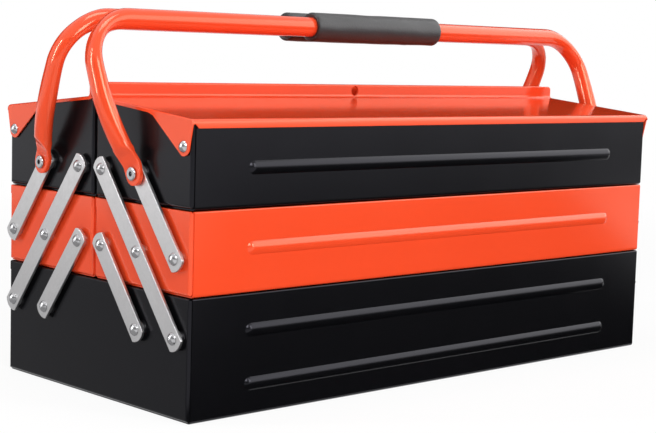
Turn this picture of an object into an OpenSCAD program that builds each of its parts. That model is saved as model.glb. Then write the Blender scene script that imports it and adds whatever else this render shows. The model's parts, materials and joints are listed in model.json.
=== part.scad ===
// Cantilever tool box: one deep bottom tray, two middle trays and two top trays
// that swing apart on riveted links, with hinged lids and two tubular handles.
// X runs along the length, Y across the box (front is -Y), Z up from the floor.

/* [Trays] */
// Length of every tray, end face to end face
box_l = 450; // [380:5:520]
// Width of the closed stack, front face to rear face
box_w = 204; // [190:2:230]
// Height of the bottom tray, floor to rim
bottom_h = 76.6; // [66:0.2:96]
// Height of the two middle trays
middle_h = 52.1; // [46:0.1:62]
// Height of the outer wall of the two top trays
top_h = 51.6; // [46:0.1:60]
// Thickness of the sheet steel
sheet = 0.8; // [0.6:0.1:1.2]
// Outside radius of the folded edges
fold_r = 2.2; // [1.6:0.1:3]
// Gap between one tier's rims and the tier above
tier_gap = 0.5; // [0.4:0.1:1.2]
// Gap between the front and the rear trays at the middle of the box
seam_gap = 1.2; // [0.8:0.1:2.5]
// Height of the folded hem along each rim
hem_h = 6; // [4:0.5:9]
// Air left inside the folded hem
hem_air = 0.2; // [0.1:0.1:0.6]
// Depth of the flanges folded inwards around an end panel
flange_w = 8; // [6:0.5:12]
// How far the long walls and the floor stop short of a tray's end faces
wall_short = 2.2; // [1:0.1:3]

/* [Pressed beads] */
// Height of one bead on the wall
bead_w = 8.6; // [6:0.2:11]
// How far a bead stands out from the wall
bead_out = 1.7; // [1:0.1:2.2]
// Distance from a bead's end to the end of the tray
bead_inset = 43.5; // [25:0.5:70]
// Height of the lower bead on the bottom tray
bottom_bead_low = 19.7; // [14:0.1:28]
// Height of the upper bead on the bottom tray
bottom_bead_high = 53.7; // [44:0.1:58]
// Height of the bead above the floor of a middle tray
middle_bead_z = 27.8; // [14:0.1:36]
// Height of the bead above the floor of a top tray
top_bead_z = 24.8; // [14:0.1:36]

/* [Links] */
// Width of a link strip
link_w = 13; // [11:0.5:15]
// Thickness of a link strip
link_t = 2; // [1.5:0.1:2.6]
// Distance from an end pivot to the tip of its link
link_reach = 7.8; // [7:0.1:9]
// Radius of the arc that closes a link's end
link_end_r = 9.4; // [8.5:0.1:14]
// Distance from the outer face of a tray to its outer pivot
outer_pivot_in = 12; // [9:0.5:18]
// Distance from the middle of the box to the inner pivots
inner_pivot_y = 13; // [11:0.5:18]
// Distance from the bottom tray's rim down to its pivots
pivot_drop = 25.1; // [18:0.1:34]
// Height of the pivots above the floor of a top tray
pivot_lift = 18.8; // [12:0.1:24]

/* [Rivets] */
// Diameter of a rivet shank
shank_d = 5; // [4:0.1:5.6]
// Diameter of a domed rivet head
head_d = 8; // [7:0.1:9.4]
// Height of a domed rivet head
head_h = 2.4; // [1.6:0.1:3]
// Diameter of the tail upset inside the tray
tail_d = 7.4; // [6.4:0.1:9]
// Height of that tail
tail_h = 1.2; // [0.8:0.1:2]
// Diameter of the spacer washer between tray and link
spacer_d = 10; // [8.4:0.1:12]
// Thickness of the spacer washer
spacer_t = 2; // [1.4:0.1:2.6]
// Diameter of the head of a lid rivet
lid_head_d = 7.2; // [6.4:0.1:9]
// Diameter of the rolled head of a handle rivet
roll_d = 8.6; // [7.4:0.1:10]
// Height of that rolled head
roll_h = 1.5; // [1:0.1:2]
// Diameter of the hole down the handle rivet
roll_bore_d = 3.2; // [2.4:0.1:3.6]
// Depth of that hole
roll_bore_l = 6; // [3:0.5:9]
// Radial clearance where a link, ear or tab turns on its shank
running_fit = 0.05; // [0.02:0.01:0.1]
// Radial clearance at the upper end of a short link
slack_fit = 0.2; // [0.1:0.05:0.3]
// Axial clearance between layers that turn on each other
side_play = 0.15; // [0.1:0.05:0.3]

/* [Lids] */
// Clearance between a lid's lip or ear and the tray it covers
lid_play = 0.5; // [0.3:0.1:1]
// Height of the lip along a lid's outer edge
lip_h = 5.1; // [3:0.1:8]
// Height of a lid's outer edge above the rim of the top tray
lid_lift = 2.8; // [2:0.1:5]
// Rise of a lid from its outer edge to the rib
lid_rise = 10; // [5:0.1:12]
// Height of the standing rib along a lid's inner edge
rib_h = 8.9; // [7:0.1:10]
// Distance from the middle of the box to the rib
rib_y = 3; // [2:0.1:5]
// Radius of the rounded upper corners of the rib
rib_corner_r = 6; // [3:0.5:7]
// How far each end of the rib stops short of the tray's end
rib_inset = 4.5; // [0:0.5:8]
// Gap from the middle of the box to a lid's inner edge
lid_edge_y = 1; // [0.8:0.1:1.6]
// Gap between the tray's end walls and the lid above them
gable_gap = 1; // [0.5:0.1:2]
// Diameter of the padlock hole through both ribs
lock_d = 7.2; // [5:0.1:7.6]
// Height of the padlock hole above the foot of the rib
lock_z = 4.4; // [4.2:0.1:4.8]
// Distance from a tray's outer face to the lid pivot
lid_pivot_in = 8; // [7:0.1:9.5]
// Distance from a lid's outer edge down to its pivot
lid_pivot_drop = 16.3; // [15.6:0.1:18]
// Radius of an ear around its pivot
ear_r = 5.8; // [5.2:0.1:6.6]
// Length of an ear along the lid
ear_l = 42.7; // [30:0.1:55]
// Length of the slanted end of the lip beside an ear
lip_slant = 2.5; // [1:0.1:5]

/* [Handles] */
// Outside diameter of the handle tube
tube_d = 13.6; // [12:0.1:15]
// Wall of the handle tube
tube_wall = 1.2; // [0.8:0.1:2]
// Distance from the handle pivot to the middle of the bar
handle_rise = 102.5; // [92:0.1:115]
// Distance from the tray's end to the middle of a leg at the bend
leg_out = 16.5; // [15.5:0.1:20]
// Distance from the tray's end to the middle of a leg at the tab
leg_foot_out = 11.6; // [11.5:0.1:13]
// Centre line radius of the handle's corners
corner_r = 33; // [22:0.5:40]
// Width of the flattened tab
tab_w = 16.2; // [12:0.1:18]
// Thickness of the flattened tab
tab_t = 3; // [2:0.1:4]
// Length of the tab from its pivot to the crease
tab_l = 13; // [10:0.5:18]
// Length over which the tab swells into the tube
crease_l = 8; // [5:0.5:14]
// How far the crease's shoulder stands out around the tube
crease_lip = 0.3; // [0.2:0.1:0.6]
// Diameter of a grip
grip_d = 20.5; // [18:0.1:23]
// Length of a grip
grip_l = 125; // [100:1:160]
// How far the tube swells where a leg enters its bend
knee_swell = 0.15; // [0.1:0.05:0.3]
// Edge radius at a grip's ends
grip_edge_r = 1.5; // [0.5:0.1:2.5]
// Radial clearance of a grip on its tube
grip_fit = 0.05; // [0.02:0.01:0.1]
// Gap between the two grips with the handles at rest
grip_gap = 5; // [3:0.1:16]
// Shift of the front grip along its bar
front_grip_x = 9; // [-30:1:40]
// Shift of the rear grip along its bar
back_grip_x = 8; // [-30:1:40]

/* [Hidden] */

$fn = 48;

front = -1;
back = 1;
left = -1;
right = 1;
sides = [left, right];

black_paint = "#1d1e21";
orange_paint = "#e84a2a";
zinc = "#c6c3c0";
foam = "#29292b";

// Cuts run this far past the faces they open
cut = 1;
// Gap between pieces that are spot welded or riveted face to face
lap_fit = 0.05;

half_l = box_l / 2;
half_w = box_w / 2;
hem_t = 2 * sheet + hem_air;
wall_l = box_l - 2 * wall_short;
tray_w = half_w - seam_gap / 2;

// Heights of the tiers
middle_z = bottom_h + tier_gap;
top_z = middle_z + middle_h + tier_gap;
rim_z = top_z + top_h;

// The lid's outer edge, its slope and its rib
lid_outer_y = half_w + lid_play + sheet;
lid_outer_z = rim_z + lid_lift;
rib_t = 2 * sheet;
ridge_z = lid_outer_z + lid_rise;
lid_run = lid_outer_y - rib_y;
lid_slope = atan(lid_rise / lid_run);
lid_half_l = half_l + lid_play + sheet;
rib_end_x = half_l - rib_inset;

// Pivots, as distances from the middle of the box and heights
outer_pivot_y = half_w - outer_pivot_in;
step_y = (outer_pivot_y - inner_pivot_y) / 2;
mid_pivot_y = inner_pivot_y + step_y;
low_pivot_z = bottom_h - pivot_drop;
high_pivot_z = top_z + pivot_lift;
step_z = (high_pivot_z - low_pivot_z) / 2;
mid_pivot_z = low_pivot_z + step_z;
lid_pivot_y = half_w - lid_pivot_in;
lid_pivot_z = lid_outer_z - lid_pivot_drop;

bottom_pivots = [[outer_pivot_y, low_pivot_z], [mid_pivot_y, low_pivot_z]];
middle_pivots = [
    [mid_pivot_y, mid_pivot_z], [inner_pivot_y, mid_pivot_z], [outer_pivot_y, mid_pivot_z]
];
top_pivot = [inner_pivot_y, high_pivot_z];
handle_pivot = [mid_pivot_y, high_pivot_z];
lid_pivot = [lid_pivot_y, lid_pivot_z];
top_holes = [top_pivot, handle_pivot, lid_pivot];

// Layers outside a tray's end face
link_face = spacer_t + side_play;
head_face = link_face + link_t + side_play;
tab_face = head_face;
roll_face = tab_face + tab_t + side_play;

// Handle
bar_y = (grip_d + grip_gap) / 2;
handle_lean = asin((mid_pivot_y - bar_y) / handle_rise);
bend_x = half_l + leg_out;
foot_x = half_l + leg_foot_out;
tab_x = half_l + tab_face;
foot_s = tab_l + crease_l;
// The corner's centre, and the leg from its arc down to the foot
arc_x = bend_x - corner_r;
arc_s = handle_rise - corner_r;
leg_tilt = atan((bend_x - foot_x) / (arc_s - foot_s));
leg_l = norm([bend_x - foot_x, arc_s - foot_s]);
// The leg stops this far short of its bend, inside the ball of the knee
knee_gap = 0.2;

// A flat shape in Y and Z, drawn out along X about the middle of the box
module along_x(l) {
    rotate([90, 0, 90])
        linear_extrude(l, center = true)
            children();
}

// A flat shape in Y and Z as a plate outside one end of the box
module plate(side, face, thick) {
    translate([side > 0 ? half_l + face : -half_l - face - thick, 0, 0])
        rotate([90, 0, 90])
            linear_extrude(thick)
                children();
}

// Rear pieces are the front ones mirrored
module in_row(row) {
    mirror([0, row > 0 ? 1 : 0, 0])
        children();
}

// Local Z points out of the tray's end face at a pivot
module at_pivot(side, row, pivot) {
    translate([side * half_l, row * pivot[0], pivot[1]])
        rotate([0, side * 90, 0])
            children();
}

// A solid block outline with its two lower corners rounded
module block_outline(w, h, r) {
    translate([r, 0])
        square([w - 2 * r, h]);
    translate([0, r])
        square([w, h - r]);
    for (x = [r, w - r])
        translate([x, r])
            circle(r);
}

// A folded U: floor and two walls of one sheet
module folded_u(w, h) {
    difference() {
        block_outline(w, h, fold_r);
        translate([sheet, sheet])
            block_outline(w - 2 * sheet, h, fold_r - sheet);
    }
}

// The folded hem at the top of a wall whose outer face is at zero
module hem(top) {
    translate([0, top - hem_h])
        square([hem_t, hem_h - hem_t / 2]);
    translate([hem_t / 2, top - hem_t / 2])
        circle(d = hem_t);
}

// Section of a tray between its outer wall at zero and its inner wall at w
module tray_section(w, outer_h, inner_h) {
    difference() {
        folded_u(w, max(outer_h, inner_h));
        translate([-cut, outer_h - hem_t / 2])
            square([w / 2, max(outer_h, inner_h)]);
        translate([w / 2, inner_h - hem_t / 2])
            square([w / 2 + cut, max(outer_h, inner_h)]);
    }
    hem(outer_h);
    translate([w, 0])
        mirror([1, 0])
            hem(inner_h);
}

// A bead's round bar with ball ends, thinner than the bead by the inset
module bead_bar(z, inset) {
    arc_r = (pow(bead_w / 2, 2) + pow(bead_out, 2)) / (2 * bead_out);
    run = box_l - 2 * bead_inset - bead_w;
    translate([0, arc_r - bead_out, z]) {
        rotate([0, 90, 0])
            cylinder(r = arc_r - inset, h = run, center = true);
        for (side = sides)
            translate([side * run / 2, 0, 0])
                sphere(arc_r - inset);
    }
}

// Beads pressed out of the wall at y = 0, which faces -Y
module pressed_wall(heights) {
    difference() {
        union() {
            children();
            intersection() {
                for (z = heights)
                    bead_bar(z, 0);
                translate([-half_l, -bead_out - cut, 0])
                    cube([box_l, bead_out + cut + sheet / 2, rim_z]);
            }
        }
        for (z = heights)
            bead_bar(z, sheet);
    }
}

// A tray's channel in the front row, outer face at -half_w, floor at z
module half_tray_channel(row, z, outer_h, inner_h, bead_z) {
    in_row(row)
        translate([0, -half_w, z])
            pressed_wall([bead_z])
                along_x(wall_l)
                    tray_section(tray_w, outer_h, inner_h);
}

// A pressed pan standing on edge, with rounded corners at its sides and its foot
module end_pan(w, h, depth, r) {
    intersection() {
        linear_extrude(h)
            block_outline(w, depth, r);
        rotate([90, 0, 90])
            linear_extrude(w)
                block_outline(2 * depth, h, r);
        translate([0, depth, 0])
            rotate([90, 0, 0])
                linear_extrude(depth)
                    block_outline(w, h, r);
    }
}

// An end panel: x across the tray, y into the tray, z up
module end_panel_blank(w, h, outer_h, inner_h) {
    panel_w = w - 2 * sheet - 2 * lap_fit;
    notch_w = hem_t - sheet + lap_fit;
    translate([sheet + lap_fit, 0, sheet + lap_fit])
        difference() {
            end_pan(panel_w, h, flange_w, fold_r);
            translate([sheet, sheet, sheet])
                end_pan(panel_w - 2 * sheet, h, flange_w, fold_r - sheet);
            translate([-cut, wall_short - lap_fit, outer_h - hem_h - sheet - 2 * lap_fit])
                cube([notch_w + cut, flange_w, h]);
            translate([panel_w - notch_w, wall_short - lap_fit, inner_h - hem_h - sheet - 2 * lap_fit])
                cube([notch_w + cut, flange_w, h]);
        }
}

// Sets an end panel into its tray and drills it for the rivets
module placed_end(side, start_y, z, holes) {
    difference() {
        translate([side * half_l, start_y, z])
            rotate([0, 0, 90])
                mirror([0, side < 0 ? 1 : 0, 0])
                    children();
        for (hole = holes)
            translate([side * (half_l + cut), hole[0], hole[1]])
                rotate([0, -side * 90, 0])
                    cylinder(d = shank_d + 2 * lap_fit, h = flange_w);
    }
}

// The hem folded inwards along the top of a straight end panel
module end_hem(w, h) {
    run = w - 2 * hem_t - 2 * lap_fit;
    translate([hem_t + lap_fit, 0, 0])
        rotate([90, 0, 90])
            linear_extrude(run)
                hem(h);
}

module straight_end(w, h) {
    panel_h = h - sheet - lap_fit - hem_t / 2;
    end_panel_blank(w, panel_h, h, h);
    end_hem(w, h);
}

module bottom_tray_channel() {
    color(black_paint)
        pressed_bottom()
            translate([0, -half_w, 0])
                along_x(wall_l)
                    tray_section(box_w, bottom_h, bottom_h);
}

// The bottom tray has beads on both long walls
module pressed_bottom() {
    heights = [bottom_bead_low, bottom_bead_high];
    mirror([0, 1, 0])
        translate([0, -half_w, 0])
            pressed_wall(heights)
                translate([0, half_w, 0])
                    mirror([0, 1, 0])
                        translate([0, -half_w, 0])
                            pressed_wall(heights)
                                translate([0, half_w, 0])
                                    children();
}

module bottom_tray_end(side) {
    holes = [for (row = [front, back]) for (p = bottom_pivots) [row * p[0], p[1]]];
    color(black_paint)
        placed_end(side, -half_w, 0, holes)
            straight_end(box_w, bottom_h);
}

module middle_tray_channel(row) {
    color(orange_paint)
        half_tray_channel(row, middle_z, middle_h, middle_h, middle_bead_z);
}

module middle_tray_end(row, side) {
    holes = [for (p = middle_pivots) [-p[0], p[1]]];
    color(orange_paint)
        in_row(row)
            placed_end(side, -half_w, middle_z, holes)
                straight_end(tray_w, middle_h);
}

// Height of the underside of the lid above the middle of the box at y
function lid_under(y) = ridge_z - (y - rib_y) * tan(lid_slope) - sheet / cos(lid_slope);

// The inner wall of a top tray reaches up to the fold under the rib
inner_wall_h = ridge_z - 2 * sheet - gable_gap - top_z;

module top_tray_channel(row) {
    color(black_paint)
        half_tray_channel(row, top_z, top_h, inner_wall_h, top_bead_z);
}

// The end walls of a top tray rise under the lid as half a gable
module gable_outline() {
    inner_y = seam_gap / 2;
    crest_y = rib_y + rib_t + gable_gap;
    polygon([
        [-half_w, top_z],
        [-half_w, rim_z - hem_t / 2],
        [-half_w + hem_t, min(rim_z, lid_under(half_w - hem_t) - gable_gap)],
        [-crest_y, lid_under(crest_y) - gable_gap],
        [-inner_y, top_z + inner_wall_h - hem_t / 2],
        [-inner_y, top_z]
    ]);
}

module top_tray_end(row, side) {
    holes = [for (p = top_holes) [-p[0], p[1]]];
    color(black_paint)
        in_row(row)
            intersection() {
                placed_end(side, -half_w, top_z, holes)
                    end_panel_blank(tray_w, inner_wall_h, top_h, inner_wall_h);
                along_x(box_l)
                    gable_outline();
            }
}

// Section of the front lid from its lip at -lid_outer_y to its inner edge
module lid_section() {
    bend_r = 2 * sheet;
    lip_top = lid_outer_z - bend_r;
    translate([-lid_outer_y, lid_outer_z - lip_h])
        square([sheet, lip_h - bend_r]);
    intersection() {
        translate([-lid_outer_y + bend_r, lip_top])
            difference() {
                circle(bend_r);
                circle(bend_r - sheet);
            }
        translate([-lid_outer_y, lip_top])
            square(bend_r);
    }
    translate([-lid_outer_y + bend_r, lid_outer_z - sheet])
        rotate(lid_slope)
            square([(lid_run - bend_r) / cos(lid_slope), sheet]);
    rib_base = ridge_z - sheet;
    translate([-rib_y - rib_t, rib_base - sheet])
        square([rib_t, ridge_z + rib_h - rib_base + sheet - rib_t / 2]);
    translate([-rib_y - rib_t / 2, ridge_z + rib_h - rib_t / 2])
        circle(d = rib_t);
    translate([-rib_y - rib_t, rib_base - sheet])
        square([rib_t + rib_y - lid_edge_y, sheet]);
}

// An ear in Y and Z, from the lid's end down around the pivot
module ear_outline() {
    slant = atan2(lid_pivot_drop + (ear_l - lid_outer_y + lid_pivot_y) * sin(lid_slope),
        ear_l - lid_outer_y + lid_pivot_y);
    top_in = ridge_z - (lid_outer_y - ear_l - rib_y) * tan(lid_slope) - sheet / 2;
    translate([-lid_pivot_y, lid_pivot_z])
        circle(ear_r);
    polygon([
        [-lid_outer_y, lid_outer_z - 2 * sheet],
        [-lid_outer_y + 2 * sheet, lid_outer_z - sheet / 2],
        [-lid_outer_y + ear_l, top_in],
        [-lid_pivot_y + ear_r * sin(slant), lid_pivot_z - ear_r * cos(slant)],
        [-lid_pivot_y - ear_r, lid_pivot_z]
    ]);
}

// The rib's upper corners are rounded at both ends
module rib_corner_cuts() {
    for (side = sides)
        translate([side * (rib_end_x - rib_corner_r), -rib_y - rib_t - cut, ridge_z + rib_h - rib_corner_r])
            mirror([side < 0 ? 1 : 0, 0, 0])
                difference() {
                    cube([rib_corner_r + cut, rib_t + 2 * cut, rib_corner_r + cut]);
                    rotate([-90, 0, 0])
                        cylinder(r = rib_corner_r, h = rib_t + 2 * cut);
                }
}

// Space beside the ears, where the lip and the rib stop short of the lid's ends
module lid_end_cuts() {
    for (side = sides)
        mirror([side < 0 ? 1 : 0, 0, 0]) {
            translate([0, -lid_outer_y + 2 * sheet, 0])
                rotate([90, 0, 0])
                    linear_extrude(2 * sheet + cut)
                        polygon([
                            [half_l - sheet, lid_outer_z - 2 * sheet],
                            [half_l - sheet - lip_slant, lid_outer_z - lip_h - cut],
                            [lid_half_l + cut, lid_outer_z - lip_h - cut],
                            [lid_half_l + cut, lid_outer_z - 2 * sheet]
                        ]);
            translate([rib_end_x, -rib_y - rib_t, ridge_z - lip_h])
                cube([lid_half_l - rib_end_x + cut, rib_y + rib_t, rib_h + lip_h + cut]);
        }
}

module lid(row) {
    color(orange_paint)
        in_row(row)
            difference() {
                union() {
                    difference() {
                        along_x(2 * lid_half_l)
                            lid_section();
                        lid_end_cuts();
                        rib_corner_cuts();
                    }
                    for (side = sides)
                        plate(side, lid_play, sheet)
                            ear_outline();
                }
                for (side = sides)
                    at_pivot(side, front, lid_pivot)
                        cylinder(d = shank_d + 2 * running_fit, h = 2 * (lid_play + sheet + cut),
                            center = true);
                translate([0, -rib_y - rib_t - cut, ridge_z + lock_z])
                    rotate([-90, 0, 0])
                        cylinder(d = lock_d, h = rib_t + 2 * cut);
            }
}

// A leg and its corner about the handle's pivot: x out, z along the leg
module leg_run(d, start) {
    translate([foot_x, 0, foot_s])
        rotate([0, leg_tilt, 0]) {
            translate([0, 0, start])
                cylinder(d = d, h = leg_l - start - knee_gap);
            translate([0, 0, leg_l])
                sphere(d = d + 2 * knee_swell);
        }
    translate([arc_x, 0, arc_s])
        rotate([90, 0, 0])
            rotate_extrude(angle = 90)
                translate([corner_r, 0])
                    circle(d = d);
}

// The straight bar and both legs as a solid rod, from a height above the feet
module bail(d, start) {
    translate([0, 0, handle_rise])
        rotate([0, 90, 0])
            cylinder(d = d, h = 2 * arc_x, center = true);
    for (side = sides)
        mirror([side < 0 ? 1 : 0, 0, 0])
            leg_run(d, start);
}

// The flattened end of the tube
module handle_tab() {
    translate([tab_x, 0, 0])
        rotate([0, 90, 0])
            cylinder(d = tab_w, h = tab_t);
    translate([tab_x, -tab_w / 2, 0])
        cube([tab_t, tab_w, tab_l]);
}

// The crease, where the tab swells into the tube
module tab_crease() {
    r = tube_d / 2 + crease_lip;
    top_s = foot_s + tube_wall;
    tab_mid_x = tab_x + tab_t / 2;
    lean = atan((foot_x - tab_mid_x) / crease_l);
    intersection() {
        rotate([90, 0, 0])
            linear_extrude(tab_w + 2 * cut, center = true)
                polygon([
                    [tab_x, tab_l - cut],
                    [tab_x + tab_t, tab_l - cut],
                    [tab_x + tab_t, tab_l],
                    [foot_x + r, foot_s],
                    [foot_x + r, top_s],
                    [foot_x - r, top_s],
                    [foot_x - r, foot_s],
                    [tab_x, tab_l]
                ]);
        translate([tab_mid_x, 0, tab_l])
            rotate([0, lean, 0])
                cylinder(d = tab_w, h = 4 * crease_l, center = true);
    }
}

// Turns pieces from the handle's own frame to where it rests
module on_handle(row) {
    in_row(row)
        translate([0, -handle_pivot[0], handle_pivot[1]])
            rotate([-handle_lean, 0, 0])
                children();
}

module handle_tube(row) {
    color(orange_paint)
        on_handle(row)
            difference() {
                union() {
                    bail(tube_d, 0);
                    for (side = sides)
                        mirror([side < 0 ? 1 : 0, 0, 0]) {
                            handle_tab();
                            tab_crease();
                        }
                }
                bail(tube_d - 2 * tube_wall, 2 * tube_wall);
                for (side = sides)
                    mirror([side < 0 ? 1 : 0, 0, 0])
                        translate([tab_x - cut, 0, 0])
                            rotate([0, 90, 0])
                                cylinder(d = shank_d + 2 * running_fit, h = tab_t + 2 * cut);
            }
}

module grip(row, shift) {
    hole_d = tube_d + 2 * grip_fit;
    color(foam)
        on_handle(row)
            translate([shift, 0, handle_rise])
                rotate([0, 90, 0])
                    difference() {
                        union() {
                            cylinder(d = grip_d, h = grip_l - 2 * grip_edge_r, center = true);
                            cylinder(d = grip_d - 2 * grip_edge_r, h = grip_l, center = true);
                            for (end = [-1, 1])
                                translate([0, 0, end * (grip_l / 2 - grip_edge_r)])
                                    rotate_extrude()
                                        translate([grip_d / 2 - grip_edge_r, 0])
                                            circle(grip_edge_r);
                        }
                        cylinder(d = hole_d, h = grip_l + 2 * cut, center = true);
                    }
}

// A link strip between its end holes, along +X from the first
module link_strip(l) {
    intersection() {
        translate([-link_reach, -link_w / 2])
            square([l + 2 * link_reach, link_w]);
        union() {
            for (x = [link_end_r - link_reach, l + link_reach - link_end_r])
                translate([x, 0])
                    circle(link_end_r);
            translate([link_end_r - link_reach, -link_w / 2])
                square([l + 2 * link_reach - 2 * link_end_r, link_w]);
        }
    }
}

// A link from one pivot up and inwards, with holes at shares of its length
module link(side, row, from, steps, fits) {
    color(zinc)
        in_row(row)
            plate(side, link_face, link_t)
                translate([-from[0], from[1]])
                    rotate(atan2(step_z, step_y))
                        difference() {
                            link_strip(steps * norm([step_y, step_z]));
                            for (i = [0 : steps])
                                translate([i * norm([step_y, step_z]), 0])
                                    circle(d = shank_d + 2 * fits[i]);
                        }
}

module long_link(row, side) {
    link(side, row, bottom_pivots[0], 2, [running_fit, running_fit, running_fit]);
}

module lower_link(row, side) {
    link(side, row, bottom_pivots[1], 1, [running_fit, slack_fit]);
}

module upper_link(row, side) {
    link(side, row, middle_pivots[2], 1, [running_fit, slack_fit]);
}

// The part of a rivet that holds it in the tray: tail inside, shank out to a height
module rivet_shank(top) {
    translate([0, 0, -sheet - lap_fit - tail_h])
        cylinder(d = tail_d, h = tail_h);
    translate([0, 0, -sheet - lap_fit - tail_h])
        cylinder(d = shank_d, h = top + sheet + lap_fit + tail_h);
}

// A domed head standing on z = 0
module dome(d, h) {
    ball_r = (pow(d / 2, 2) + pow(h, 2)) / (2 * h);
    intersection() {
        translate([0, 0, h - ball_r])
            sphere(ball_r);
        cylinder(d = d, h = h);
    }
}

module dome_rivet(face, d) {
    rivet_shank(face);
    translate([0, 0, face])
        dome(d, head_h);
}

// A handle rivet with a rolled, hollow head
module rolled_rivet() {
    roll_r = roll_h / 2;
    difference() {
        union() {
            rivet_shank(roll_face);
            translate([0, 0, roll_face]) {
                cylinder(d = roll_d - roll_h, h = roll_h);
                translate([0, 0, roll_r])
                    rotate_extrude()
                        translate([roll_d / 2 - roll_r, 0])
                            circle(roll_r);
            }
        }
        translate([0, 0, roll_face + roll_h - roll_bore_l])
            cylinder(d = roll_bore_d, h = roll_bore_l + cut);
    }
}

module spacer() {
    difference() {
        cylinder(d = spacer_d, h = spacer_t);
        translate([0, 0, -cut])
            cylinder(d = shank_d + 2 * lap_fit, h = spacer_t + 2 * cut);
    }
}

// A copy of a fastener at each pivot of a row, at both ends of the box
module at_pivots(rows, pivots) {
    for (side = sides)
        for (row = rows)
            for (pivot = pivots)
                at_pivot(side, row, pivot)
                    children();
}

module tray_rivets(rows, pivots) {
    color(zinc)
        at_pivots(rows, pivots)
            dome_rivet(head_face, head_d);
}

module handle_rivets(row) {
    color(zinc)
        at_pivots([row], [handle_pivot])
            rolled_rivet();
}

module lid_rivets(row) {
    color(zinc)
        at_pivots([row], [lid_pivot])
            dome_rivet(lid_play + sheet + side_play, lid_head_d);
}

module tray_spacers(rows, pivots) {
    color(zinc)
        at_pivots(rows, pivots)
            translate([0, 0, lap_fit])
                spacer();
}

bottom_tray_channel();
bottom_tray_end(left);  // bottom_tray_left_end
bottom_tray_end(right);  // bottom_tray_right_end
middle_tray_channel(front);  // front_middle_tray_channel
middle_tray_end(front, left);  // front_middle_tray_left_end
middle_tray_end(front, right);  // front_middle_tray_right_end
middle_tray_channel(back);  // back_middle_tray_channel
middle_tray_end(back, left);  // back_middle_tray_left_end
middle_tray_end(back, right);  // back_middle_tray_right_end
top_tray_channel(front);  // front_top_tray_channel
top_tray_end(front, left);  // front_top_tray_left_end
top_tray_end(front, right);  // front_top_tray_right_end
top_tray_channel(back);  // back_top_tray_channel
top_tray_end(back, left);  // back_top_tray_left_end
top_tray_end(back, right);  // back_top_tray_right_end
lid(front);  // front_lid
lid(back);  // back_lid
handle_tube(front);  // front_handle_tube
handle_tube(back);  // back_handle_tube
grip(front, front_grip_x);  // front_grip
grip(back, back_grip_x);  // back_grip
long_link(front, left);  // front_left_long_link
long_link(front, right);  // front_right_long_link
long_link(back, left);  // back_left_long_link
long_link(back, right);  // back_right_long_link
lower_link(front, left);  // front_left_lower_link
lower_link(front, right);  // front_right_lower_link
lower_link(back, left);  // back_left_lower_link
lower_link(back, right);  // back_right_lower_link
upper_link(front, left);  // front_left_upper_link
upper_link(front, right);  // front_right_upper_link
upper_link(back, left);  // back_left_upper_link
upper_link(back, right);  // back_right_upper_link
tray_rivets([front, back], bottom_pivots);  // bottom_tray_rivets
tray_rivets([front], middle_pivots);  // front_middle_tray_rivets
tray_rivets([back], middle_pivots);  // back_middle_tray_rivets
tray_rivets([front], [top_pivot]);  // front_top_tray_rivets
tray_rivets([back], [top_pivot]);  // back_top_tray_rivets
handle_rivets(front);  // front_handle_rivets
handle_rivets(back);  // back_handle_rivets
lid_rivets(front);  // front_lid_rivets
lid_rivets(back);  // back_lid_rivets
tray_spacers([front, back], bottom_pivots);  // bottom_tray_spacers
tray_spacers([front], middle_pivots);  // front_middle_tray_spacers
tray_spacers([back], middle_pivots);  // back_middle_tray_spacers
tray_spacers([front], [top_pivot, handle_pivot]);  // front_top_tray_spacers
tray_spacers([back], [top_pivot, handle_pivot]);  // back_top_tray_spacers
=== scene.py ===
import bpy
import bmesh
import json
import math
from mathutils import Matrix, Vector


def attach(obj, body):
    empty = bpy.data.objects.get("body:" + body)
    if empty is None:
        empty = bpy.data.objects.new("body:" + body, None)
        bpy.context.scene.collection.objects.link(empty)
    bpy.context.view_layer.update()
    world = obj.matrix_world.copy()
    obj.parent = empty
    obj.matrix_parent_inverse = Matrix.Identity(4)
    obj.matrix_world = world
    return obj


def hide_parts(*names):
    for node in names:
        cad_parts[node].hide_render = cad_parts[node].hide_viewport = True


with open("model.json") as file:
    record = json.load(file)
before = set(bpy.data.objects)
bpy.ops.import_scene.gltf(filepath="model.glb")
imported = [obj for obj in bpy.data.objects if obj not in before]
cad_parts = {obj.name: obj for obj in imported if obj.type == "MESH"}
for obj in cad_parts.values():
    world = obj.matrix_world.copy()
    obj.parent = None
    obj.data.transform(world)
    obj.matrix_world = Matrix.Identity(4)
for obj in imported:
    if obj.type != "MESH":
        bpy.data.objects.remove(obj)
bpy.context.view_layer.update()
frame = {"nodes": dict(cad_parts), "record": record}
mm = 0.001
rows = {"front": -1, "back": 1}
sides = {"left": -1, "right": 1}
print("frame loaded:", len(frame["nodes"]), "nodes")


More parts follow.
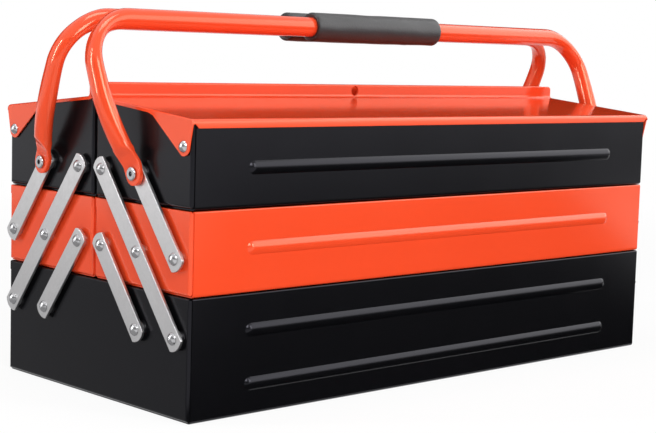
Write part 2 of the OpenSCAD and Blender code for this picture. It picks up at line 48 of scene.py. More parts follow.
# a socket that can be written into an expression
class Wire:
    def __init__(self, tree, socket=None):
        self.tree = tree
        self.socket = socket

    # any node: its settings first, then the values or links of its sockets
    def node(self, kind, settings=None, sockets=None, out=0):
        made = self.tree.nodes.new(kind)
        for name, value in (settings or {}).items():
            if name == "stops":
                self.fillRamp(made.color_ramp, value)
            else:
                setattr(made, name, value)
        for name, value in (sockets or {}).items():
            if isinstance(value, Wire):
                self.tree.links.new(value.socket, made.inputs[name])
            else:
                made.inputs[name].default_value = value
        return Wire(self.tree, made.outputs[out])

    def fillRamp(self, ramp, stops):
        while len(ramp.elements) < len(stops):
            ramp.elements.new(1)
        for element, (place, shade) in zip(ramp.elements, stops):
            element.position = place
            element.color = (shade, shade, shade, 1)

    def maths(self, operation, first, second):
        return self.node("ShaderNodeMath", {"operation": operation}, {0: first, 1: second})

    def __add__(self, other):
        return self.maths("ADD", self, other)

    def __radd__(self, other):
        return self.maths("ADD", other, self)

    def __sub__(self, other):
        return self.maths("SUBTRACT", self, other)

    def __rsub__(self, other):
        return self.maths("SUBTRACT", other, self)

    def __mul__(self, other):
        return self.maths("MULTIPLY", self, other)

    def __rmul__(self, other):
        return self.maths("MULTIPLY", other, self)

    def largest(self, other):
        return self.maths("MAXIMUM", self, other)

    # grey noise about 0.5; size is that of one blob, in metres
    def noise(self, place, size, detail=2.0, rough=0.5):
        return self.node("ShaderNodeTexNoise", {}, {"Vector": place, "Scale": 1 / size, "Detail": detail,
                                                    "Roughness": rough})

    def ramp(self, value, stops):
        return self.node("ShaderNodeValToRGB", {"stops": stops}, {"Fac": value})

    def mixColour(self, mask, first, second):
        sockets = {0: mask, 6: first + (1,), 7: second + (1,)}
        return self.node("ShaderNodeMix", {"data_type": "RGBA"}, sockets, out=2)

    def bump(self, height, strength, depth, under=None):
        sockets = {"Height": height, "Strength": strength, "Distance": depth}
        if under:
            sockets["Normal"] = under
        return self.node("ShaderNodeBump", {}, sockets)


def newMaterial(name):
    material = bpy.data.materials.new(name)
    material.use_nodes = True
    tree = material.node_tree
    shader = next(n for n in tree.nodes if n.type == "BSDF_PRINCIPLED")
    wire = Wire(tree)
    place = wire.node("ShaderNodeTexCoord", out="Object")
    return material, shader, wire, place


# constants go on the shader's own sockets, what varies is linked
def fill(shader, wire, values):
    for name, value in values.items():
        if isinstance(value, Wire):
            wire.tree.links.new(value.socket, shader.inputs[name])
        else:
            shader.inputs[name].default_value = value


paintLook = {
    "orange": {"colour": (0.84, 0.070, 0.020), "shadow": (0.77, 0.060, 0.016), "roughness": 0.12,
               "level": 0.75, "gloss": (1.0, 0.79, 0.56)},
    "black": {"colour": (0.0038, 0.0038, 0.0046), "shadow": (0.0026, 0.0026, 0.0032), "roughness": 0.21,
              "level": 0.25, "gloss": (0.87, 0.86, 1.0)},
}
# sizes and depths in metres
paintGrain = {
    "cloudSize": 0.09, "cloudStrength": 0.003, "cloudDepth": 0.0015,
    "peelSize": 0.0016, "peelStrength": 0.06, "peelDepth": 0.0001,
    "speckSize": 0.0045, "speckTint": 0.3, "speckRough": 0.03,
    "smudgeSize": 0.05, "smudgeStops": [(0.42, 0), (0.66, 1)], "smudgeRough": 0.02,
}


# paint that drifts a little in colour and gloss, over faint orange peel
def paint(name, look):
    grain = paintGrain
    material, shader, wire, place = newMaterial(name)
    cloud = wire.noise(place, grain["cloudSize"], 3)
    peel = wire.noise(place, grain["peelSize"], 1)
    speck = wire.noise(place, grain["speckSize"], 4, 0.7)
    smudge = wire.ramp(wire.noise(place, grain["smudgeSize"], 5, 0.65), grain["smudgeStops"])
    drift = cloud * (1 - grain["speckTint"]) + speck * grain["speckTint"]
    waves = wire.bump(cloud, grain["cloudStrength"], grain["cloudDepth"])
    dullness = smudge * grain["smudgeRough"] + (speck - 0.5) * grain["speckRough"]
    fill(shader, wire, {
        "Base Color": wire.mixColour(drift, look["colour"], look["shadow"]),
        "Roughness": look["roughness"] + dullness,
        "Normal": wire.bump(peel, grain["peelStrength"], grain["peelDepth"], waves),
        "Specular IOR Level": look["level"],
        "Specular Tint": look["gloss"] + (1,),
    })
    return material


zincLook = {"bright": (0.70, 0.69, 0.70), "dull": (0.54, 0.535, 0.54), "roughness": 0.34}
# the rivets get a darker copy of the zinc: painted shade standing in for the darker reflections on their
# domes
shadedRivetLook = {"bright": (0.56, 0.555, 0.57), "dull": (0.42, 0.42, 0.435), "roughness": 0.2}
# linkLean is how far the links lean from upright, in degrees
zincGrain = {
    "linkLean": 38.4, "stretch": 14, "drawnSize": 0.0009, "drawnTint": 0.35, "drawnRough": 0.16,
    "bloomSize": 0.007, "bloomStops": [(0.35, 0), (0.7, 1)], "bloomTint": 0.6, "bloomRough": 0.10,
    "pitSize": 0.0012, "pitShare": 0.3, "strength": 0.15, "depth": 0.0001,
}


# zinc plating with a drawn grain along the link and a dull bloom
def zinc(name, leanDegrees, look):
    grain = zincGrain
    material, shader, wire, place = newMaterial(name)
    turned = wire.node("ShaderNodeMapping", {"vector_type": "TEXTURE"},
                       {"Vector": place, "Rotation": (math.radians(leanDegrees), 0, 0),
                        "Scale": (1, grain["stretch"], 1)})
    drawn = wire.noise(turned, grain["drawnSize"], 3, 0.6)
    bloom = wire.ramp(wire.noise(place, grain["bloomSize"], 4, 0.6), grain["bloomStops"])
    pit = wire.noise(place, grain["pitSize"], 2)
    dullness = bloom * grain["bloomTint"] + drawn * grain["drawnTint"]
    relief = drawn * (1 - grain["pitShare"]) + pit * grain["pitShare"]
    fill(shader, wire, {
        "Base Color": wire.mixColour(dullness, look["bright"], look["dull"]),
        "Roughness": look["roughness"] + bloom * grain["bloomRough"] + (drawn - 0.5) * grain["drawnRough"],
        "Normal": wire.bump(relief, grain["strength"], grain["depth"]),
        "Metallic": 1.0,
    })
    return material


foamLook = {
    "colour": (0.024, 0.023, 0.025), "poreShade": (0.011, 0.011, 0.012), "roughness": 0.42, "level": 0.5,
    "poresPerMetre": 1100, "poreShare": 0.6, "poreStops": [(0.25, 0), (0.6, 1)],
    "grainSize": 0.0014, "grainRough": 0.2, "strength": 0.5, "depth": 0.0003,
}


def foam(name):
    look = foamLook
    material, shader, wire, place = newMaterial(name)
    pores = wire.node("ShaderNodeTexVoronoi", {}, {"Vector": place, "Scale": look["poresPerMetre"]},
                      out="Distance")
    grain = wire.noise(place, look["grainSize"], 3, 0.7)
    # the pores are darker: painted shade in the dents that the bump presses in
    solid = wire.ramp(pores * look["poreShare"] + grain * (1 - look["poreShare"]), look["poreStops"])
    fill(shader, wire, {
        "Base Color": wire.mixColour(solid, look["poreShade"], look["colour"]),
        "Roughness": look["roughness"] + (grain - 0.5) * look["grainRough"],
        "Normal": wire.bump(pores * 0.5 + grain * 0.5, look["strength"], look["depth"]),
        "Specular IOR Level": look["level"],
    })
    return material


materials = {
    "orange_paint": paint("orangePaint", paintLook["orange"]),
    "black_paint": paint("blackPaint", paintLook["black"]),
    "zinc": zinc("zincPlate", zincGrain["linkLean"], zincLook),
    "zincBack": zinc("zincPlateBack", -zincGrain["linkLean"], zincLook),
    "shadedZincRivet": zinc("shadedZincRivet", 0, shadedRivetLook),
    "foam": foam("foamRubber"),
}
slotOf = {part["node"]: part["material_slot"] for part in frame["record"]["subparts"]}
for nodeName, node in frame["nodes"].items():
    for slotIndex in range(len(node.material_slots)):
        # rivets take the darker zinc, a painted shade for their reflections
        finish = "shadedZincRivet" if nodeName.endswith("rivets") else slotOf[nodeName]
        node.material_slots[slotIndex].material = materials[finish]
print("materials made")


def addObject(name, data):
    made = bpy.data.objects.new(name, data)
    bpy.context.scene.collection.objects.link(made)
    return made


# smooth faces, with the edges that turn further than this kept sharp
def shade(bm, sharpDegrees):
    for face in bm.faces:
        face.smooth = True
    for edge in bm.edges:
        if len(edge.link_faces) == 2:
            edge.smooth = edge.calc_face_angle(0) < math.radians(sharpDegrees)


def makePiece(name, bm, slotName, body, node, sharpDegrees):
    bmesh.ops.remove_doubles(bm, verts=bm.verts, dist=1e-6)
    bmesh.ops.recalc_face_normals(bm, faces=bm.faces)
    shade(bm, sharpDegrees)
    mesh = bpy.data.meshes.new(name)
    bm.to_mesh(mesh)
    bm.free()
    mesh.materials.append(materials[slotName])
    piece = addObject(name, mesh)
    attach(piece, body)
    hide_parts(node)
    return piece


# joins closed rings of points into one skin, closed at both ends
def joinRings(bm, rings):
    made = [[bm.verts.new(point) for point in ring] for ring in rings]
    for one, two in zip(made, made[1:]):
        for i in range(len(one)):
            j = (i + 1) % len(one)
            bm.faces.new((one[i], one[j], two[j], two[i]))
    bm.faces.new(reversed(made[0]))
    bm.faces.new(made[-1])


# an outline in Y and Z as a flat plate between two places along X
def addPlate(bm, outline, low, high, row):
    joinRings(bm, [[Vector((x, row * y, z)) * mm for y, z in outline] for x in (low, high)])


drill = {"sides": 48, "reach": 8.0}


# drills a round hole; the drill stands upright until it is turned about the axis
def cutHole(piece, centre, radius, turnAxis, sharpDegrees):
    bm = bmesh.new()
    turn = Matrix.Translation(centre * mm) @ Matrix.Rotation(math.radians(90), 4, turnAxis)
    bmesh.ops.create_cone(bm, cap_ends=True, segments=drill["sides"], radius1=radius * mm,
                          radius2=radius * mm, depth=drill["reach"] * mm, matrix=turn)
    mesh = bpy.data.meshes.new("holeCutter")
    bm.to_mesh(mesh)
    bm.free()
    cutter = addObject("holeCutter", mesh)
    cut = piece.modifiers.new("hole", "BOOLEAN")
    cut.operation = "DIFFERENCE"
    cut.solver = "EXACT"
    cut.object = cutter
    bpy.context.view_layer.update()
    drilled = bpy.data.meshes.new_from_object(piece.evaluated_get(bpy.context.evaluated_depsgraph_get()))
    piece.modifiers.remove(cut)
    bpy.data.objects.remove(cutter)
    bm = bmesh.new()
    bm.from_mesh(drilled)
    shade(bm, sharpDegrees)
    bm.to_mesh(drilled)
    bm.free()
    piece.data = drilled


def span(low, high, count):
    return [low + (high - low) * i / count for i in range(count + 1)]


def clamped(share):
    return min(1, max(0, share))


def eased(share):
    return share * share * (3 - 2 * share)


def between(first, second, share):
    return first + (second - first) * share


# points round part of a circle or an oval, turns in degrees
def arcPoints(centre, radii, turns):
    angles = [math.radians(turn) for turn in turns]
    return [(centre[0] + radii[0] * math.cos(a), centre[1] + radii[1] * math.sin(a)) for a in angles]


# Handle tubes: a flat tab, a pressed shoulder, oval legs and bends, a round bar. X is the distance from
# the middle of the box and S the distance up the leaning handle from its pivot, in millimetres. The
# slopes are the shares of S that go across and up.
handleForm = {
    "pivotY": 51.5, "pivotZ": 148.5, "slopeY": 0.37805, "slopeZ": 0.92578, "points": 40, "sharpDegrees": 50,
    "tabX": 230.8, "tabHalf": 1.5, "tabEndRadius": 7.5, "tabHalfWidth": 7.8, "tabPower": 9,
    "tabStart": 2.0, "tabTop": 11.2, "tabHole": 2.55, "footS": 17.6,
    "shoulderShares": (0.08, 0.2, 0.4, 0.6, 0.8, 0.93, 1.0), "shoulderEase": 0.35,
    "leanS": 2.0, "leanLength": 9.0, "legStart": 4.3, "legCurve": 2.5, "legFirst": 0.04, "legTurnIn": 0.25,
    "legHalf": 5.2, "legHalfWidth": 7.3, "legPower": 2.1, "thinFrom": 0.55, "thinInLeg": 0.7,
    "bendX": 241.0, "bendS": 70.5, "bendHalf": 4.3, "bendHalfWidth": 6.9, "thinTurn": 20, "roundTurn": 42,
    "barX": 208.2, "barS": 102.5, "barHalf": 6.8, "barPower": 2, "firstTurn": 4,
    "skew": {rows["front"]: -1.7, rows["back"]: 1.5}, "skewFrom": 10, "skewLength": 40,
}


# a point of the front or rear handle, from its place in the handle's own plane
def handlePoint(row, x, s, across):
    form = handleForm
    y = form["pivotY"] - s * form["slopeY"] + across * form["slopeZ"]
    z = form["pivotZ"] + s * form["slopeZ"] + across * form["slopeY"]
    skew = form["skew"][row] * clamped((s - form["skewFrom"]) / form["skewLength"])
    return Vector((x + skew, row * y, z)) * mm


# one ring across the tube: half is measured in the handle's plane, halfWidth across it
def handleRing(row, side, centre, along, half, halfWidth, power):
    ring = []
    for i in range(handleForm["points"]):
        turn = 2 * math.pi * i / handleForm["points"]
        cosine, sine = math.cos(turn), math.sin(turn)
        out = half * math.copysign(abs(cosine) ** (2 / power), cosine)
        across = halfWidth * math.copysign(abs(sine) ** (2 / power), sine)
        x, s = centre[0] + along[1] * out, centre[1] - along[0] * out
        ring.append(handlePoint(row, side * x, s, across))
    return ring


# how far out the middle of the leg stands, at a distance up from its pivot
def legCentre(s):
    form = handleForm
    share = clamped((s - form["legStart"]) / (form["bendS"] - form["legStart"]))
    out = (form["bendX"] - form["tabX"]) * (1 - (1 - share) ** form["legCurve"])
    return form["tabX"] + out * eased(clamped((s - form["leanS"]) / form["leanLength"]))


def tabRings(row, side):
    form = handleForm
    radius = form["tabEndRadius"]
    rings = []
    for turn in span(form["firstTurn"], 90, 10):
        angle = math.radians(turn)
        centre = (form["tabX"], -radius * math.cos(angle))
        rings.append(handleRing(row, side, centre, (0, 1), form["tabHalf"], radius * math.sin(angle),
                                form["tabPower"]))
    for s in span(form["tabStart"], form["tabTop"], 5):
        rings.append(handleRing(row, side, (legCentre(s), s), (0, 1), form["tabHalf"], form["tabHalfWidth"],
                                form["tabPower"]))
    return rings


def shoulderRings(row, side):
    form = handleForm
    rings = []
    for share in form["shoulderShares"]:
        swell = between(share, eased(share), form["shoulderEase"])
        s = between(form["tabTop"], form["footS"], share)
        half = between(form["tabHalf"], form["legHalf"], swell)
        halfWidth = between(form["tabHalfWidth"], form["legHalfWidth"], swell)
        power = between(form["tabPower"], form["legPower"], share ** 0.5)
        rings.append(handleRing(row, side, (legCentre(s), s), (0, 1), half, halfWidth, power))
    return rings


def legRings(row, side):
    form = handleForm
    rings = []
    for share in span(form["legFirst"], 1, 16):
        s = between(form["footS"], form["bendS"], share)
        lean = (legCentre(s + 0.5) - legCentre(s - 0.5)) * clamped(share / form["legTurnIn"])
        along = Vector((lean, 1)).normalized()
        thin = eased(clamped((share - form["thinFrom"]) / (1 - form["thinFrom"]))) * form["thinInLeg"]
        half = between(form["legHalf"], form["bendHalf"], thin)
        halfWidth = between(form["legHalfWidth"], form["bendHalfWidth"], thin)
        rings.append(handleRing(row, side, (legCentre(s), s), along, half, halfWidth, form["legPower"]))
    return rings


def bendRings(row, side):
    form = handleForm
    across, height = form["bendX"] - form["barX"], form["barS"] - form["bendS"]
    rings = []
    for turn in span(form["firstTurn"], 90, 20):
        cosine, sine = math.cos(math.radians(turn)), math.sin(math.radians(turn))
        centre = (form["barX"] + across * cosine, form["bendS"] + height * sine)
        along = Vector((-across * sine, height * cosine)).normalized()
        thin = between(form["thinInLeg"], 1, eased(clamped(turn / form["thinTurn"])))
        rounder = eased(clamped((turn - form["roundTurn"]) / (90 - form["roundTurn"])))
        half = between(between(form["legHalf"], form["bendHalf"], thin), form["barHalf"], rounder)
        halfWidth = between(form["legHalfWidth"], form["bendHalfWidth"], thin)
        halfWidth = between(halfWidth, form["barHalf"], rounder)
        power = between(form["legPower"], form["barPower"], rounder)
        rings.append(handleRing(row, side, centre, along, half, halfWidth, power))
    return rings


def halfHandle(row, side):
    return tabRings(row, side) + shoulderRings(row, side) + legRings(row, side) + bendRings(row, side)


def buildHandle(rowName, row):
    form = handleForm
    bm = bmesh.new()
    joinRings(bm, halfHandle(row, -1) + list(reversed(halfHandle(row, 1))))
    tube = makePiece(rowName + "HandleTube", bm, "orange_paint", rowName + "_handle",
                     rowName + "_handle_tube", form["sharpDegrees"])
    for side in sides.values():
        pivot = Vector((side * form["tabX"], row * form["pivotY"], form["pivotZ"]))
        cutHole(tube, pivot, form["tabHole"], "Y", form["sharpDegrees"])


# Foam sleeves on the bars, in millimetres. Shift is how far a sleeve sits off the middle of its bar.
gripForm = {
    "length": 125, "shift": {rows["front"]: 9, rows["back"]: 8}, "radius": 10.22, "bore": 6.85,
    "boreInset": 0.8, "edge": 1.7, "plainFrom": 2, "points": 64, "rings": 40, "sharpDegrees": 60,
    "uneven": 0.12, "shortWave": 0.11, "longWave": 0.045,
}


# half the sleeve's outline, as (place along the bar, radius)
def gripEnd():
    form = gripForm
    half, edge = form["length"] / 2, form["edge"]
    rounded = arcPoints((-half + edge, form["radius"] - edge), (edge, edge), span(180, 90, 6))
    return [(-half + form["boreInset"], form["bore"])] + rounded


# shallow dents only, so that a sleeve never grows thicker
def gripDent(x, turn):
    form = gripForm
    wave = math.sin(x * form["shortWave"] + turn * 2) * math.sin(x * form["longWave"] - turn)
    return (wave - abs(wave)) * form["uneven"]


def buildGrip(rowName, row):
    form = gripForm
    plain = form["length"] / 2 - form["edge"] - form["plainFrom"]
    profile = gripEnd() + [(x, form["radius"]) for x in span(-plain, plain, form["rings"])]
    profile += [(-x, radius) for x, radius in reversed(gripEnd())]
    middle = form["shift"][row] - handleForm["skew"][row]
    rings = []
    for x, radius in profile:
        ring = []
        for i in range(form["points"]):
            turn = 2 * math.pi * i / form["points"]
            reach = radius + (gripDent(x, turn) if radius > form["bore"] else 0)
            ring.append(handlePoint(row, x + middle, handleForm["barS"] + reach * math.sin(turn),
                                    reach * math.cos(turn)))
        rings.append(ring)
    bm = bmesh.new()
    joinRings(bm, rings)
    makePiece(rowName + "Grip", bm, "foam", rowName + "_handle", rowName + "_grip", form["sharpDegrees"])


# Lids: one folded sheet each, with a lip along the outer edge and a standing rib along the inner one.
# Millimetres, Y from the middle of the box. Stations are distances in from the end with a ring of points.
lidForm = {
    "halfLength": 226.26, "outerY": 103.3, "outerZ": 184.1, "ridgeZ": 194.1, "slopeDegrees": 5.69,
    "sheet": 0.8, "lipHeight": 5.1, "lipStub": 2.6, "lipFold": 2.0, "lipCrown": 0.1, "lipEnd": 221.7,
    "lipStart": 224.2, "foldFlat": 2.0, "flatEdge": 0.3,
    "ribY": 3.0, "ribThick": 1.6, "ribTop": 203.0, "ribCorner": 2.0, "ribRoot": 1.9, "ribFoot": 1.5,
    "stripY": 1.0, "endFold": 1.2, "stations": (8, 2.6, 2.3, 2.2), "plainStation": 20,
    "holeZ": 198.5, "holeRadius": 3.6, "sharpDegrees": 35,
}


def lidTop(y):
    return lidForm["ridgeZ"] - (y - lidForm["ribY"]) * math.tan(math.radians(lidForm["slopeDegrees"]))


def labelled(points, kind):
    return [(y, z, kind) for y, z in points]


# the upper side from the lip to the rib; points just inside the folds keep the flats flat
def lidUpperSide():
    form = lidForm
    outer, fold, flatEdge = form["outerY"], form["lipFold"], form["flatEdge"]
    rootY = form["ribY"] + form["ribThick"] + form["ribRoot"]
    lip = arcPoints((outer - fold, form["outerZ"] - fold), (fold, fold + form["lipCrown"]), span(0, 90, 6))
    flat = [outer - fold - flatEdge] + span(outer - fold - form["foldFlat"], rootY + flatEdge, 6) + [rootY]
    return labelled(lip + [(y, lidTop(y)) for y in flat], "sheet")


def lidRib():
    form = lidForm
    inner, root, flatEdge = form["ribY"], form["ribRoot"], form["flatEdge"]
    outer, radius = inner + form["ribThick"], form["ribThick"] / 2
    base, shoulder = lidTop(outer + root), form["ribTop"] - radius
    foot = arcPoints((outer + root, base + root), (root, root), span(255, 180, 5))
    crest = arcPoints((inner + radius, shoulder), (radius, radius), span(0, 180, 8))
    crest = [(outer, shoulder - flatEdge)] + crest + [(inner, shoulder - flatEdge)]
    return labelled(foot + [(outer, base + root + flatEdge)], "rib") + labelled(crest, "top")


def lidUnderside():
    form = lidForm
    outer, fold, sheet, ridge = form["outerY"], form["lipFold"], form["sheet"], form["ridgeZ"]
    ribOuter = form["ribY"] + form["ribThick"]
    strip = [(form["ribY"], ridge - sheet), (form["stripY"], ridge - sheet),
             (form["stripY"], ridge - 2 * sheet), (ribOuter + form["ribFoot"], ridge - 2 * sheet)]
    inner, edge = ribOuter + form["ribRoot"] + form["foldFlat"], outer - fold - form["foldFlat"]
    flat = [(y, lidTop(y) - sheet) for y in span(inner, edge, 6)]
    lip = arcPoints((outer - fold, form["outerZ"] - fold), (fold - sheet, fold - sheet), span(90, 0, 4))
    return labelled(strip, "rib") + labelled(flat + lip, "sheet")


# the lid's cut edge, as (distance from the middle, height, what it belongs to)
def lidProfile():
    form = lidForm
    bottom = form["outerZ"] - form["lipHeight"]
    lip = [(form["outerY"] - form["sheet"], bottom), (form["outerY"], bottom)]
    return labelled(lip, "lip") + lidUpperSide() + lidRib() + lidUnderside()


def lidStations():
    form = lidForm
    end = form["halfLength"]
    near = [end - form["endFold"] * (1 - math.sin(math.radians(turn))) for turn in span(0, 90, 6)]
    near += [form["lipEnd"], form["lipStart"]] + [end - inset for inset in form["stations"]]
    near = sorted(near)
    plain = end - form["plainStation"]
    return [-x for x in reversed(near)] + span(-plain, plain, 20) + near


# how far a rounded edge has dropped, at a distance in from where it ends
def roundedDrop(inside, radius):
    return radius - math.sqrt(max(0, radius ** 2 - (radius - min(inside, radius)) ** 2))


# the cut edge at a place along the lid: ends folded down, rib corners round, lip cut away beside the ears
def lidRing(row, x):
    form = lidForm
    inside = form["halfLength"] - abs(x)
    foldDrop = roundedDrop(inside, form["endFold"])
    cutShare = clamped((abs(x) - form["lipEnd"]) / (form["lipStart"] - form["lipEnd"]))
    lipLift = cutShare * (form["lipHeight"] - form["lipStub"] - foldDrop)
    lift = {"lip": lipLift, "sheet": -foldDrop, "rib": 0, "top": -roundedDrop(inside, form["ribCorner"])}
    return [Vector((x, row * y, z + lift[kind])) * mm for y, z, kind in lidProfile()]


# The flange folded down at each end of a lid, and the ear round its rivet. Drops are from the lid's top.
earForm = {
    "face": 225.5, "proud": 0.04, "pivotY": 94.0, "pivotZ": 167.8, "radius": 5.8, "length": 42.7,
    "flangeTop": 1.15, "flangeDrop": 2.2, "ribGap": 0.4, "shoulderIn": 2.6,
    "shoulder": ((1.4, 1.6), (0.5, 3.0)), "slantRise": 15.2, "tangent": 6,
    "neck": 2.5, "neckDrop": 1.1, "neckRun": 8,
}


def endFlange():
    form = earForm
    outer, outerZ = lidForm["outerY"], lidForm["outerZ"]
    inner, earInner = lidForm["ribY"] + form["ribGap"], outer - form["length"]
    neck, drop = form["neck"], form["flangeDrop"]
    points = [(y, lidTop(y) - form["flangeTop"]) for y in span(inner, outer - form["shoulderIn"], 6)]
    points += [(outer - inset, outerZ - fall) for inset, fall in form["shoulder"]]
    slant = math.degrees(math.atan2(form["slantRise"], form["length"] - outer + form["pivotY"]))
    points += arcPoints((form["pivotY"], form["pivotZ"]), (form["radius"], form["radius"]),
                        span(0, form["tangent"] - 90 - slant, 14))
    points += [(earInner + neck, lidTop(earInner + neck) - drop - form["neckDrop"]),
               (earInner - neck, lidTop(earInner - neck) - drop)]
    return points + [(y, lidTop(y) - drop) for y in span(earInner - form["neckRun"], inner, 5)]


# the sheet is drilled before the flanges join it
def buildLid(rowName, row):
    form = lidForm
    bm = bmesh.new()
    joinRings(bm, [lidRing(row, x) for x in lidStations()])
    lid = makePiece(rowName + "Lid", bm, "orange_paint", rowName + "_lid", rowName + "_lid",
                    form["sharpDegrees"])
    hole = Vector((0, row * (form["ribY"] + form["ribThick"] / 2), form["holeZ"]))
    cutHole(lid, hole, form["holeRadius"], "X", form["sharpDegrees"])
    flanges = bmesh.new()
    for side in sides.values():
        low, high = sorted((side * earForm["face"], side * (form["halfLength"] + earForm["proud"])))
        addPlate(flanges, endFlange(), low, high, row)
    bmesh.ops.recalc_face_normals(flanges, faces=flanges.faces)
    shade(flanges, form["sharpDegrees"])
    flanges.from_mesh(lid.data)
    flanges.to_mesh(lid.data)
    flanges.free()


# Links: plated strips with softened edges and slightly pointed ends, in millimetres. They lie a face's
# distance outside the ends of the trays. A step is the way from one pivot to the next, towards the middle
# and up. Runs start at (pivot Y, pivot Z).
linkForm = {
    "trayEnd": 225, "face": 2.15, "thick": 2.0,
    "halfWidth": 6.5, "reach": 7.8, "endRadius": 9.4, "stepY": 38.5, "stepZ": 48.5,
    "soft": 0.3, "softSteps": 3, "softDegrees": 40, "sharpDegrees": 35,
}
linkRuns = {
    "long": {"start": (90.0, 51.5), "steps": 2},
    "lower": {"start": (51.5, 51.5), "steps": 1},
    "upper": {"start": (90.0, 100.0), "steps": 1},
}


def linkOutline(start, steps):
    form = linkForm
    step = math.hypot(form["stepY"], form["stepZ"])
    length = steps * step
    radius = form["endRadius"]
    half = math.degrees(math.asin(form["halfWidth"] / radius))
    flat = arcPoints((length + form["reach"] - radius, 0), (radius, radius), span(-half, half, 16))
    flat += [(length - x, -y) for x, y in flat]
    dirY, dirZ = -form["stepY"] / step, form["stepZ"] / step
    return [(start[0] + dirY * x - dirZ * y, start[1] + dirZ * x + dirY * y) for x, y in flat]


def buildLink(rowName, row, sideName, side, kind):
    form = linkForm
    near = form["trayEnd"] + form["face"]
    low, high = sorted((side * near, side * (near + form["thick"])))
    bm = bmesh.new()
    addPlate(bm, linkOutline(**linkRuns[kind]), low, high, row)
    link = makePiece(rowName + sideName.capitalize() + kind.capitalize() + "Link", bm, "zinc",
                     rowName + "_" + kind + "_links", rowName + "_" + sideName + "_" + kind + "_link",
                     form["sharpDegrees"])
    soften = link.modifiers.new("softEdges", "BEVEL")
    soften.width = form["soft"] * mm
    soften.segments = form["softSteps"]
    soften.limit_method = "ANGLE"
    soften.angle_limit = math.radians(form["softDegrees"])
    link.data.materials[0] = materials["zinc" if row < 0 else "zincBack"]


for rowName, row in rows.items():
    buildHandle(rowName, row)
    buildGrip(rowName, row)
    buildLid(rowName, row)
    for sideName, side in sides.items():
        for kind in linkRuns:
            buildLink(rowName, row, sideName, side, kind)
print("handles, grips, lids and links built")


# a pale floor that fades to white away from the object, under white surroundings
studio = {
    "floorHalf": 6.0, "floorColour": (0.93, 0.93, 0.93, 1), "white": (1, 1, 1, 1), "ambient": 0.32,
    "fadeRun": 2.0, "fadeStops": [(0.3, 0.9), (0.7, 1)],
}


def clearTree(owner):
    owner.use_nodes = True
    owner.node_tree.nodes.clear()
    return Wire(owner.node_tree)


def toSurface(wire, outputKind, shaderWire):
    output = wire.tree.nodes.new(outputKind)
    wire.tree.links.new(shaderWire.socket, output.inputs["Surface"])


# 1 where the ray comes straight from the camera or off a gloss, 0 where it only carries light
def seenDirectly(wire):
    rays = wire.tree.nodes.new("ShaderNodeLightPath")
    camera = Wire(wire.tree, rays.outputs["Is Camera Ray"])
    glossy = Wire(wire.tree, rays.outputs["Is Glossy Ray"])
    through = Wire(wire.tree, rays.outputs["Is Transmission Ray"])
    return camera.largest(glossy).largest(through)


def buildWorld():
    world = bpy.data.worlds.new("surroundings")
    wire = clearTree(world)
    lit = wire.node("ShaderNodeBackground", {}, {"Color": studio["white"], "Strength": studio["ambient"]})
    seen = wire.node("ShaderNodeBackground", {}, {"Color": studio["white"], "Strength": 1.0})
    mixed = wire.node("ShaderNodeMixShader", {}, {0: seenDirectly(wire), 1: lit, 2: seen})
    toSurface(wire, "ShaderNodeOutputWorld", mixed)
    bpy.context.scene.world = world


def addSheet(name, corners, material):
    mesh = bpy.data.meshes.new(name)
    mesh.from_pydata(corners, [], [(0, 1, 2, 3)])
    mesh.materials.append(material)
    sheet = addObject(name, mesh)
    return sheet


def buildFloor():
    half = studio["floorHalf"]
    material = bpy.data.materials.new("floorPaper")
    wire = clearTree(material)
    paper = wire.node("ShaderNodeBsdfDiffuse", {}, {"Color": studio["floorColour"]})
    white = wire.node("ShaderNodeEmission", {}, {"Color": studio["white"], "Strength": 1.0})
    place = wire.node("ShaderNodeTexCoord", out="Object")
    away = wire.node("ShaderNodeVectorMath", {"operation": "LENGTH"}, {0: place}, out="Value")
    faded = wire.ramp(away * (1 / studio["fadeRun"]), studio["fadeStops"])
    mixed = wire.node("ShaderNodeMixShader", {}, {0: seenDirectly(wire) * faded, 1: paper, 2: white})
    toSurface(wire, "ShaderNodeOutputMaterial", mixed)
    corners = [(-half, -half, 0), (half, -half, 0), (half, half, 0), (-half, half, 0)]
    addSheet("studioFloor", corners, material)


# Cards that only gloss sees, in metres: a big soft box to the front right above a dark floor, and dark
# behind.
# Upright cards run from one floor point to another; the others lie just above the floor beside the box, as
# painted shade for the floor's shadow there.
cardLift = 0.0006
cards = {
    "softBox": {"run": ((1.7, -3.4), (1.7, 0.5)), "low": 0.32, "high": 2.1, "glow": 2.9},
    "underSoftBox": {"run": ((1.7, -3.4), (1.7, 0.5)), "low": 0.13, "high": 0.32, "glow": 1.2},
    "lowRightCard": {"run": ((1.7, -3.4), (1.7, 0.5)), "low": 0, "high": 0.13, "glow": 0.22},
    "leftCard": {"run": ((-2.5, 0.4), (-2.0, -2.4)), "low": 0.12, "high": 1.7, "glow": 0.25},
    "nearCard": {"run": ((-2.0, -2.4), (0.2, -2.9)), "low": 0.12, "high": 1.7, "glow": 0.25},
    "backRightCard": {"run": ((1.7, 0.5), (1.7, 3.2)), "low": 0.2, "high": 1.3, "glow": 0.0},
    "backCard": {"run": ((-1.15, 2.2), (1.7, 2.2)), "low": 0.15, "high": 1.6, "glow": 0.02},
    # painted shade: sheets on the floor beside the box, black in front and dim to the left, darken the
    # floor in reflections where its shadow falls
    "frontFloorShadeCard": {"flat": ((-0.27, -0.104), (0.34, -0.104), (1.69, -1.35), (0.75, -1.35)),
                       "glow": 0.0},
    "leftFloorShadeCard": {"flat": ((-0.9, -0.104), (-0.225, -0.104), (-0.225, 1.1), (-0.9, 1.1)), "glow": 0.42},
}


def cardCorners(card):
    if "flat" in card:
        return [(x, y, cardLift) for x, y in card["flat"]]
    first, last = card["run"]
    return [first + (card["low"],), last + (card["low"],), last + (card["high"],), first + (card["high"],)]


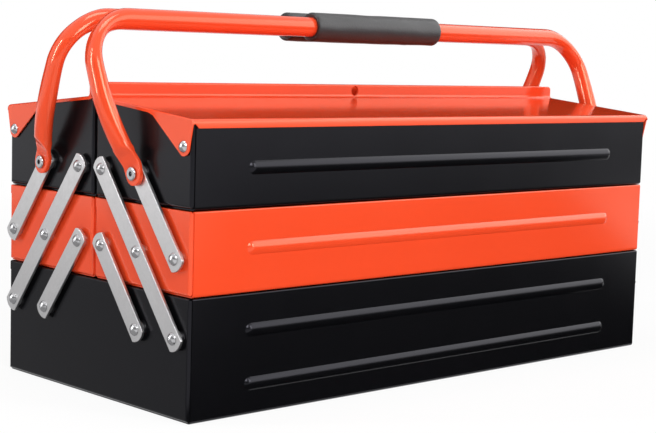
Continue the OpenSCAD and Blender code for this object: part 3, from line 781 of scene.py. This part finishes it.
def buildCards():
    for name, values in cards.items():
        material = bpy.data.materials.new(name)
        wire = clearTree(material)
        glow = wire.node("ShaderNodeEmission", {}, {"Color": studio["white"], "Strength": values["glow"]})
        toSurface(wire, "ShaderNodeOutputMaterial", glow)
        card = addSheet(name, cardCorners(values), material)
        card.visible_camera = False
        card.visible_diffuse = False
        card.visible_shadow = False
        card.visible_transmission = False


# area lamps: place and size in metres, power in watts, all aimed at the middle of the tool box
lampAim = (0, 0, 0.12)
lamps = {
    "frontStrip": {"place": (0.58, -1.95, 0.95), "size": (0.35, 1.3), "power": 14},
    "leftStrip": {"place": (-1.85, 0.95, 0.80), "size": (0.10, 1.2), "power": 14},
    "cameraKey": {"place": (-0.9, -1.7, 1.3), "size": (1.1, 0.9), "power": 25},
    "overhead": {"place": (-0.1, -0.1, 1.9), "size": (1.4, 0.55), "power": 11},
}


def buildLamps():
    for name, values in lamps.items():
        data = bpy.data.lights.new(name, "AREA")
        data.shape = "RECTANGLE"
        data.size, data.size_y = values["size"]
        data.energy = values["power"]
        lamp = addObject(name, data)
        lamp.location = values["place"]
        lamp.rotation_euler = (Vector(lampAim) - lamp.location).to_track_quat("-Z", "Y").to_euler()


# angles in degrees; the focal length is in pixels, for an image of this width
view = {
    "place": (-0.78425, -0.81785, 0.22515), "yaw": -43.095, "pitch": 6.059, "roll": 1.681,
    "focalPixels": 1534.0, "imageWidth": 656, "sensorWidth": 36, "nearest": 0.01,
}


def buildCamera():
    data = bpy.data.cameras.new("viewCamera")
    data.sensor_fit = "HORIZONTAL"
    data.sensor_width = view["sensorWidth"]
    data.lens = view["focalPixels"] / view["imageWidth"] * view["sensorWidth"]
    data.clip_start = view["nearest"]
    yaw, pitch, roll = (math.radians(view[key]) for key in ("yaw", "pitch", "roll"))
    back = Vector((math.sin(yaw) * math.cos(pitch), -math.cos(yaw) * math.cos(pitch), math.sin(pitch)))
    right = (-back).cross(Vector((0, 0, 1))).normalized()
    up = right.cross(-back)
    rightTurned = math.cos(roll) * right + math.sin(roll) * up
    upTurned = -math.sin(roll) * right + math.cos(roll) * up
    turn = Matrix((rightTurned, upTurned, back)).transposed().to_4x4()
    camera = addObject("viewCamera", data)
    camera.matrix_world = Matrix.Translation(Vector(view["place"])) @ turn
    bpy.context.scene.camera = camera


buildWorld()
buildFloor()
buildCards()
buildLamps()
buildCamera()
bpy.context.scene.view_settings.view_transform = "Standard"
print("studio and camera set")
